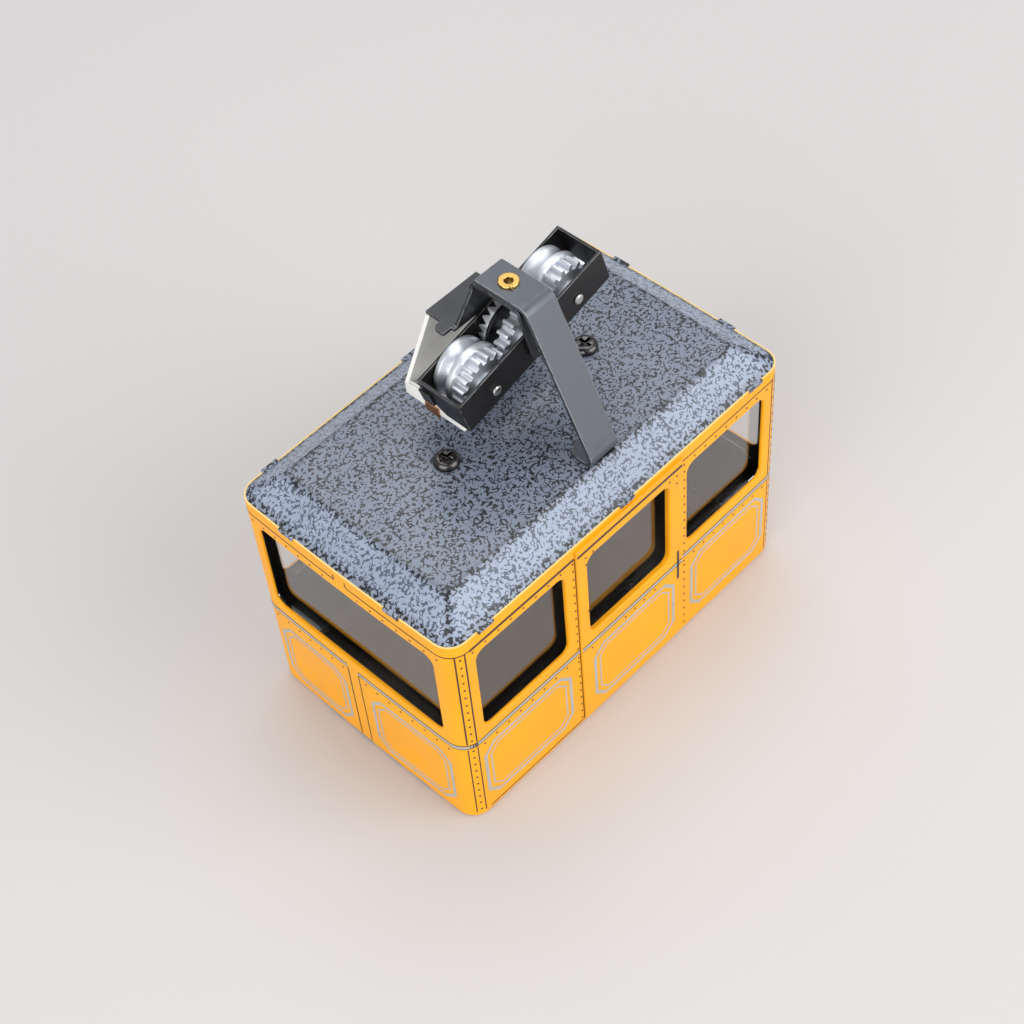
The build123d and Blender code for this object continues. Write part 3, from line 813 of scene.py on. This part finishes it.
class InkDrawing:
    """One colour of print, drawn flat piece by piece and laid on the skin as thin solids."""

    FLAT_STEP = 1.6
    CORNER_STEP = 0.6

    def __init__(self, name: str, skin: Skin) -> None:
        """Start an empty drawing.

        Args:
            name: name of the finished piece.
            skin: the surface that it is laid on.
        """
        self.name = name
        self.skin = skin
        self.shape = bmesh.new()

    def _lay(self, rings: list[list[Point2]], closed: bool, target: Face | Point2) -> None:
        """Lay a ribbon of ink on the skin as a thin solid.

        Args:
            rings: pairs of points across the ribbon, one pair for each step along it, in millimetres.
            closed: the last pair joins the first.
            target: a flat stretch, or a corner's signs of X and Y.
        """
        place = self._on(target) if isinstance(target, Face) else self._round(target)
        solid = []
        top, under = self.skin.lift, -self.skin.sink
        for (ax, az), (bx, bz) in rings:
            points = ((ax, az, top), (bx, bz, top), (bx, bz, under), (ax, az, under))
            solid.append([self.shape.verts.new(place(x * MM, z * MM, proud)) for x, z, proud in points])
        steps = list(zip(solid, solid[1:]))
        if closed:
            steps.append((solid[-1], solid[0]))
        for here, after in steps:
            for side in range(4):
                following = (side + 1) % 4
                self.shape.faces.new((here[side], here[following], after[following], after[side]))
        if not closed:
            self.shape.faces.new(solid[0])
            self.shape.faces.new(solid[-1])

    def _on(self, face: Face) -> Placing:
        """Placing function for a flat stretch of the skin.

        Args:
            face: the stretch.

        Returns:
            Function of the distance along, the height and the distance out.
        """
        return lambda along, height, proud: self.skin.on_face(face, along, height, proud)

    def _round(self, quadrant: Point2) -> Placing:
        """Placing function for a corner, where along is the distance round it from the X axis.

        Args:
            quadrant: signs of X and Y at the corner.

        Returns:
            Function of the distance along, the height and the distance out.
        """
        return lambda along, height, proud: self.skin.on_corner(quadrant, along / PLAN.corner, height, proud)

    def bar(self, target: Face | Point2, low: Point2, high: Point2) -> None:
        """Draw a filled rectangle.

        Args:
            target: a flat stretch, or a corner's signs of X and Y.
            low: its lowest corner, in millimetres.
            high: its highest corner, in millimetres.
        """
        (x0, z0), (x1, z1) = low, high
        level = x1 - x0 > z1 - z0
        length = max(x1 - x0, z1 - z0)
        step_length = self.FLAT_STEP if isinstance(target, Face) else self.CORNER_STEP
        count = max(1, math.ceil(length / step_length))
        rings = []
        for step in range(count + 1):
            share = step / count
            if level:
                along = x0 + share * (x1 - x0)
                rings.append([(along, z0), (along, z1)])
            else:
                height = z0 + share * (z1 - z0)
                rings.append([(x0, height), (x1, height)])
        self._lay(rings, False, target)

    def dots(self, target: Face | Point2, centres: list[Point2], diameter: float = 0.5) -> None:
        """Draw filled dots, each a short ribbon of three steps.

        Args:
            target: a flat stretch, or a corner's signs of X and Y.
            centres: their middles, in millimetres.
            diameter: their size, in millimetres.
        """
        wide = 0.5 * diameter
        narrow = 0.21 * diameter
        steps = ((-wide, narrow), (-narrow, wide), (narrow, wide), (wide, narrow))
        for x, z in centres:
            rings = [[(x + dx, z - dz), (x + dx, z + dz)] for dx, dz in steps]
            self._lay(rings, False, target)

    def frame_line(
        self, face: Face, low: Point2, high: Point2, chamfer: float, notch: float, width: float
    ) -> None:
        """Draw a panel's border line with stepped, cut-off corners.

        Args:
            face: which stretch of skin.
            low: its lowest corner, in millimetres.
            high: its highest corner, in millimetres.
            chamfer: how far its corners are cut off.
            notch: size of the small steps at the ends of a cut corner.
            width: width of the line.
        """
        (x0, z0), (x1, z1) = low, high
        reach = chamfer + notch
        ring = []
        for x, z, sx, sz in ((x0, z0, 1, 1), (x1, z0, -1, 1), (x1, z1, -1, -1), (x0, z1, 1, -1)):
            steps = ((0.0, reach), (notch, chamfer), (chamfer, notch), (reach, 0.0))
            cut = [(x + sx * across, z + sz * up) for across, up in steps]
            ring += cut if sx * sz > 0 else reversed(cut)
        self._lay(self._mitred(ring, width), True, face)

    @classmethod
    def _mitred(cls, ring: list[Point2], width: float) -> list[list[Point2]]:
        """Pairs of points across a closed line that turns left all the way round.

        Args:
            ring: the line's outer edge.
            width: how far in its inner edge lies.

        Returns:
            The pairs, spaced closely enough to follow the skin.
        """
        corners = [Vector(point) for point in ring]
        inner = []
        for index, corner in enumerate(corners):
            before = (corner - corners[index - 1]).normalized()
            after = (corners[(index + 1) % len(corners)] - corner).normalized()
            mitre = Vector((-before.y, before.x)) + Vector((-after.y, after.x))
            inner.append(corner + mitre * (2 * width / mitre.length_squared))
        rings = []
        for index, corner in enumerate(corners):
            following = (index + 1) % len(corners)
            count = max(1, math.ceil((corners[following] - corner).length / cls.FLAT_STEP))
            for step in range(count):
                share = step / count
                outer_point = corner.lerp(corners[following], share)
                inner_point = inner[index].lerp(inner[following], share)
                rings.append([tuple(outer_point), tuple(inner_point)])
        return rings

    def finish(self, material: bpy.types.Material) -> bpy.types.Object:
        """Turn the drawing into one piece.

        Args:
            material: its ink.

        Returns:
            The piece.
        """
        bmesh.ops.recalc_face_normals(self.shape, faces=self.shape.faces)
        mesh = bpy.data.meshes.new(self.name)
        self.shape.to_mesh(mesh)
        self.shape.free()
        mesh.materials.append(material)
        piece = bpy.data.objects.new(self.name, mesh)
        bpy.context.scene.collection.objects.link(piece)
        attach(piece, "root")
        return piece


@dataclass
class Lithography:
    """The cabin's printed lines, panels and rivets, in millimetres.

    Attributes:
        belt_z: middle of the silver belt line.
        belt: its width.
        outline: width of the dark lines beside it.
        rim_z: height of the dark line under the roof.
        rim_line: its width.
        wide_rim_line: its width on a long side, up to the door section's rear seam.
        seams: X of the door section's front and rear seams.
        seam_gap: half the gap that a seam leaves in the level lines.
        rivet_pitch: spacing along the rows under the rim and the belt.
        column_pitch: spacing down the seams and the corner strips.
        side_edge: where a long side's lines stop, from the middle.
        side_row_edge: where its rows of rivets stop.
        end_edge: where an end's lines stop, from the middle.
        outer_border: cut-off corner, step and width of a panel's wide border.
        inner_border: the same of its narrow border.
        border_gap: how far in the narrow border lies.
        side_panels: lowest and highest corners of a long side's panels.
        end_panels: lowest and highest corners of an end's panels.
        door_latch: lowest and highest corners of the mark on the door's edge.
        row_heights: heights of a long side's rows of rivets.
        column_heights: lowest and highest rivets of its columns.
        door_rivets: single rivets on the door section.
        belt_rivets: X of the rivets under the door section's belt.
        end_rivets: Y of the rivets along the top of an end.
        lap: Y where the front end's lapped seam breaks the belt.
        lap_lines: Y of the two lines along that seam.
        hooks: Y of the two ticks above an end's rim line.
    """

    belt_z: float = 27.4
    belt: float = 0.85
    outline: float = 0.25
    rim_z: float = 59.3
    rim_line: float = 0.3
    wide_rim_line: float = 0.75
    seams: Point2 = (-15.6, 16.6)
    seam_gap: float = 0.25
    rivet_pitch: float = 3.55
    column_pitch: float = 2.6
    side_edge: float = 45.3
    side_row_edge: float = 44.5
    end_edge: float = 26.0
    outer_border: tuple[float, float, float] = (2.4, 0.7, 0.85)
    inner_border: tuple[float, float, float] = (1.9, 0.5, 0.42)
    border_gap: float = 1.75
    side_panels: Boxes = (
        ((-45.2, 4.8), (-18.8, 24.2)), ((-12.3, 4.8), (13.9, 24.2)), ((19.7, 4.8), (45.2, 24.2))
    )
    end_panels: Boxes = (((-26.0, 3.2), (-2.4, 22.6)), ((5.3, 3.2), (26.0, 22.6)))
    door_latch: tuple[Point2, Point2] = ((14.75, 22.0), (15.45, 31.8))
    row_heights: Point2 = (57.7, 25.6)
    column_heights: tuple[Point2, Point2] = ((28.9, 55.4), (3.0, 24.0))
    door_rivets: tuple[Point2, ...] = (
        (-13.0, 56.9), (-13.0, 54.6), (-10.8, 56.9), (12.5, 56.9), (14.8, 56.9), (14.8, 54.6), (-13.0, 39.2)
    )
    belt_rivets: tuple[float, ...] = (-12.5, -2.0, 1.0, 4.0, 7.5)
    end_rivets: tuple[float, ...] = (
        -26.6, -23.2, -19.4, -15.7, -12.0, -8.5, -4.8, 5.2, 9.0, 12.4, 16.0, 19.5, 23.0, 26.4
    )
    lap: Point2 = (0.3, 3.5)
    lap_lines: tuple[Point2, Point2] = ((0.2, 0.45), (3.3, 3.6))
    hooks: Point2 = (-1.8, 1.5)

    def build(self) -> list[bpy.types.Object]:
        """Draw everything.

        Returns:
            The silver and the dark piece.
        """
        skin = Skin()
        silver = InkDrawing("silver_print", skin)
        dark = InkDrawing("dark_print", skin)
        for side in (Face.RIGHT, Face.LEFT):
            self._side(silver, dark, side)
        for end in (Face.FRONT, Face.REAR):
            self._end(silver, dark, end)
        for quadrant in ((-1.0, -1.0), (-1.0, 1.0), (1.0, -1.0), (1.0, 1.0)):
            self._corner(silver, dark, quadrant)
        return [
            silver.finish(PRINT_SILVER.material("print_silver")),
            dark.finish(PRINT_DARK.material("print_dark")),
        ]

    def _belt(
        self, silver: InkDrawing, dark: InkDrawing, target: Face | Point2, start: float, stop: float
    ) -> None:
        """Draw a stretch of the belt with its two outlines.

        Args:
            silver: silver drawing.
            dark: dark drawing.
            target: where it lies.
            start: where it starts along the target.
            stop: where it stops.
        """
        low, high = self.belt_z - self.belt / 2, self.belt_z + self.belt / 2
        silver.bar(target, (start, low), (stop, high))
        dark.bar(target, (start, low - self.outline), (stop, low))
        dark.bar(target, (start, high), (stop, high + self.outline))

    @staticmethod
    def _row(start: float, stop: float, height: float, pitch: float) -> list[Point2]:
        """Evenly spaced points of a level row of rivets."""
        count = int((stop - start) / pitch + 0.5)
        return [(start + index * (stop - start) / count, height) for index in range(count + 1)]

    def _column(self, along: float, low: float, high: float) -> list[Point2]:
        """Evenly spaced points of an upright row of rivets."""
        return [(along, height) for height, _ in self._row(low, high, 0.0, self.column_pitch)]

    def _panel(self, silver: InkDrawing, face: Face, low: Point2, high: Point2) -> None:
        """Draw a panel's wide outer and narrow inner border.

        Args:
            silver: silver drawing.
            face: where it lies.
            low: its lowest corner.
            high: its highest corner.
        """
        gap = self.border_gap
        silver.frame_line(face, low, high, *self.outer_border)
        inner_low, inner_high = (low[0] + gap, low[1] + gap), (high[0] - gap, high[1] - gap)
        silver.frame_line(face, inner_low, inner_high, *self.inner_border)

    def _side(self, silver: InkDrawing, dark: InkDrawing, face: Face) -> None:
        """Draw a long side.

        Args:
            silver: silver drawing.
            dark: dark drawing.
            face: the side.
        """
        front, rear = self.seams
        gap = self.seam_gap
        for start, stop, thick in (
            (-self.side_edge, front - gap, self.wide_rim_line),
            (front + gap, rear - gap, self.wide_rim_line),
            (rear + gap, self.side_edge, self.rim_line),
        ):
            self._belt(silver, dark, face, start, stop)
            dark.bar(face, (start, self.rim_z - thick), (stop, self.rim_z))
        for low, high in self.side_panels:
            self._panel(silver, face, low, high)
        for seam in (front - 0.18, rear + 0.18):
            dark.bar(face, (seam - 0.1, 2.0), (seam + 0.1, self.rim_z - 0.8))
        dark.bar(face, *self.door_latch)
        points = []
        for height in self.row_heights:
            points += self._row(-self.side_row_edge, front - 0.7, height, self.rivet_pitch)
            points += self._row(rear + 0.9, self.side_row_edge, height, self.rivet_pitch)
        for column in (front - 0.75, rear + 1.05):
            for low, high in self.column_heights:
                points += self._column(column, low, high)
        points += self.door_rivets
        points += [(along, self.row_heights[1]) for along in self.belt_rivets]
        dark.dots(face, points)
        dark.bar(face, (-45.0, 1.75), (front - 0.5, 2.05))

    def _end(self, silver: InkDrawing, dark: InkDrawing, face: Face) -> None:
        """Draw an end; the front one has the wrapped sheet's seam.

        Args:
            silver: silver drawing.
            dark: dark drawing.
            face: the end.
        """
        lapped = face is Face.FRONT
        edge = self.end_edge
        lap_from, lap_to = self.lap
        for start, stop in ((-edge, lap_from), (lap_to, edge)) if lapped else ((-edge, edge),):
            self._belt(silver, dark, face, start, stop)
        first_hook, last_hook = self.hooks
        rim_low = self.rim_z - self.rim_line
        dark.bar(face, (-edge, rim_low), (first_hook, self.rim_z))
        dark.bar(face, (last_hook, rim_low), (edge, self.rim_z))
        for hook in self.hooks:
            dark.bar(face, (hook - 0.15, self.rim_z), (hook + 0.15, self.rim_z + 1.4))
        for low, high in self.end_panels:
            self._panel(silver, face, low, high)
        points = [(y, 57.4) for y in self.end_rivets]
        points += self._row(-edge, edge, 25.3, self.rivet_pitch)
        clear = 0.5
        if lapped:
            points = [point for point in points if not lap_from - clear < point[0] < lap_to + clear]
        dark.dots(face, points)
        if lapped:
            for low, high in self.lap_lines:
                dark.bar(face, (low, 1.6), (high, 26.8))

    def _corner(self, silver: InkDrawing, dark: InkDrawing, quadrant: Point2) -> None:
        """Draw a rounded corner with its riveted strip, and a buckle at the front right.

        Args:
            silver: silver drawing.
            dark: dark drawing.
            quadrant: signs of X and Y at the corner.
        """
        quarter = PLAN.corner / MM * math.pi / 2
        rim_low = self.rim_z - self.rim_line
        self._belt(silver, dark, quadrant, 0.0, quarter)
        dark.bar(quadrant, (0.0, rim_low), (quarter, self.rim_z))
        for line in (0.57 * quarter, 0.86 * quarter):
            dark.bar(quadrant, (line - 0.16, 28.4), (line + 0.16, rim_low))
            dark.bar(quadrant, (line - 0.12, 2.0), (line + 0.12, 26.4))
        if quadrant == (-1.0, -1.0):
            buckle = 0.7
            dark.bar(quadrant, (0.5 * quarter, self.belt_z - buckle), (0.89 * quarter, self.belt_z + buckle))
        middle = 0.715 * quarter
        dark.dots(quadrant, self._column(middle, 29.4, 57.8) + self._column(middle, 3.0, 25.6))


# ---- stage ---------------------------------------------------------------------
@dataclass
class Studio:
    """Pale floor, soft light and the camera.

    Attributes:
        place: the camera's place.
        bearing_deg: the way it looks, from +X towards +Y.
        down_deg: how far it looks down.
        roll_deg: how far it is turned about its own view.
        lens: focal length in millimetres on a 36 mm sensor.
    """

    place: tuple[float, float, float] = (-0.18403, -0.20119, 0.36857)
    bearing_deg: float = 48.02
    down_deg: float = 50.795
    roll_deg: float = -5.846
    lens: float = 69.85

    def camera(self) -> None:
        """Add the camera and make it the scene's."""
        bearing, down, roll = map(math.radians, (self.bearing_deg, self.down_deg, self.roll_deg))
        level_share = math.cos(down)
        ahead = Vector((level_share * math.cos(bearing), level_share * math.sin(bearing), -math.sin(down)))
        level = Vector((math.sin(bearing), -math.cos(bearing), 0.0))
        upright = level.cross(ahead)
        right = math.cos(roll) * level + math.sin(roll) * upright
        up = math.cos(roll) * upright - math.sin(roll) * level
        data = bpy.data.cameras.new("camera")
        data.lens = self.lens
        data.sensor_width = 36.0
        data.clip_start = 0.01
        camera = bpy.data.objects.new("camera", data)
        turn = Matrix((right, up, -ahead)).transposed().to_4x4()
        camera.matrix_world = Matrix.Translation(self.place) @ turn
        bpy.context.scene.collection.objects.link(camera)
        bpy.context.scene.camera = camera

    def floor(self) -> None:
        """Add the plain pale floor."""
        shape = bmesh.new()
        bmesh.ops.create_grid(shape, x_segments=1, y_segments=1, size=3.0)
        mesh = bpy.data.meshes.new("floor")
        shape.to_mesh(mesh)
        shape.free()
        floor = bpy.data.objects.new("floor", mesh)
        material = bpy.data.materials.new("floor")
        material.use_nodes = True
        shader = material.node_tree.nodes["Principled BSDF"]
        shader.inputs["Base Color"].default_value = (*srgb(203, 200, 198), 1.0)
        shader.inputs["Roughness"].default_value = 0.9
        mesh.materials.append(material)
        bpy.context.scene.collection.objects.link(floor)

    def light(self, name: str, towards: tuple[float, float, float], size: float, power: float) -> None:
        """Add a soft square light that faces the cabin.

        Args:
            name: the light's name.
            towards: direction from the cabin to the light.
            size: length of its side.
            power: its power in watts.
        """
        data = bpy.data.lights.new(name, "AREA")
        data.size = size
        data.energy = power
        lamp = bpy.data.objects.new(name, data)
        out = Vector(towards).normalized()
        lamp.matrix_world = Matrix.Translation(out * 1.1) @ out.to_track_quat("Z", "Y").to_matrix().to_4x4()
        bpy.context.scene.collection.objects.link(lamp)

    def build(self) -> None:
        """Add the whole stage."""
        self.camera()
        self.floor()
        self.light("right_softbox", (0.35, -0.80, 0.50), 1.0, 8.5)
        self.light("left_softbox", (-0.86, -0.22, 0.48), 1.0, 8.0)
        self.light("top_softbox", (0.25, 0.3, 1.0), 0.8, 4.5)
        world = bpy.data.worlds.new("room")
        world.use_nodes = True
        ground = world.node_tree.nodes["Background"]
        ground.inputs["Color"].default_value = (0.93, 0.96, 1.0, 1.0)
        ground.inputs["Strength"].default_value = 0.5
        bpy.context.scene.world = world
        bpy.context.scene.view_settings.view_transform = "Standard"


# ---- the whole toy ---------------------------------------------------------------
CARRIED = (
    Softened("body_shell", LACQUER, 0.0),
    Softened("floor_pan", FLOOR_TIN, 0.1),
    Softened("roof_pan", ROOF, 0.1),
    Softened("left_glazing", CLEAR, 0.0),
    Softened("right_glazing", CLEAR, 0.0),
    Softened("front_glazing", CLEAR, 0.0),
    Softened("rear_glazing", CLEAR, 0.0),
    Softened("roof_screw_front", SCREW, 0.08),
    Softened("roof_screw_rear", SCREW, 0.08),
    Softened("hanger_strap", STRAP, 0.14),
    Softened("eyelet", BRASS, 0.06),
    Softened("trolley_bracket", BRACKET, 0.1),
    Softened("rope_guard", IVORY, 0.15),
    Softened("guard_clip", COPPER, 0.08),
    Softened("trolley_frame", BLACK, 0.13),
    Softened("trolley_side_plate", BLACK, 0.13),
    Softened("front_wheel", ZINC, 0.07),
    Softened("rear_wheel", ZINC, 0.07),
    Softened("centre_gear", ZINC, 0.07),
    Softened("brake_disc", DISC, 0.1),
    Softened("escape_wheel", ESCAPE, 0.06),
    Softened("front_axle", AXLE, 0.06),
    Softened("centre_axle", AXLE, 0.06),
    Softened("rear_axle", AXLE, 0.06),
)


def main() -> None:
    """Build the stage, the carried pieces and the print, and report each."""
    logging.basicConfig(level=logging.INFO, format="%(name)s: %(message)s")
    Studio().build()
    body_of = {node: body for body, nodes in frame["record"]["behaviour"]["bodies"].items() for node in nodes}
    materials: dict[str, bpy.types.Material] = {}
    for piece in CARRIED:
        slot = piece.finish.slot
        if slot not in materials:
            materials[slot] = piece.finish.material(slot)
        made = piece.build(body_of[piece.node], materials[slot])
        LOG.info("%s: %d faces on %s", made.name, len(made.data.polygons), body_of[piece.node])
    for made in Lithography().build():
        LOG.info("%s: %d faces", made.name, len(made.data.polygons))


if __name__ == "__main__":
    main()
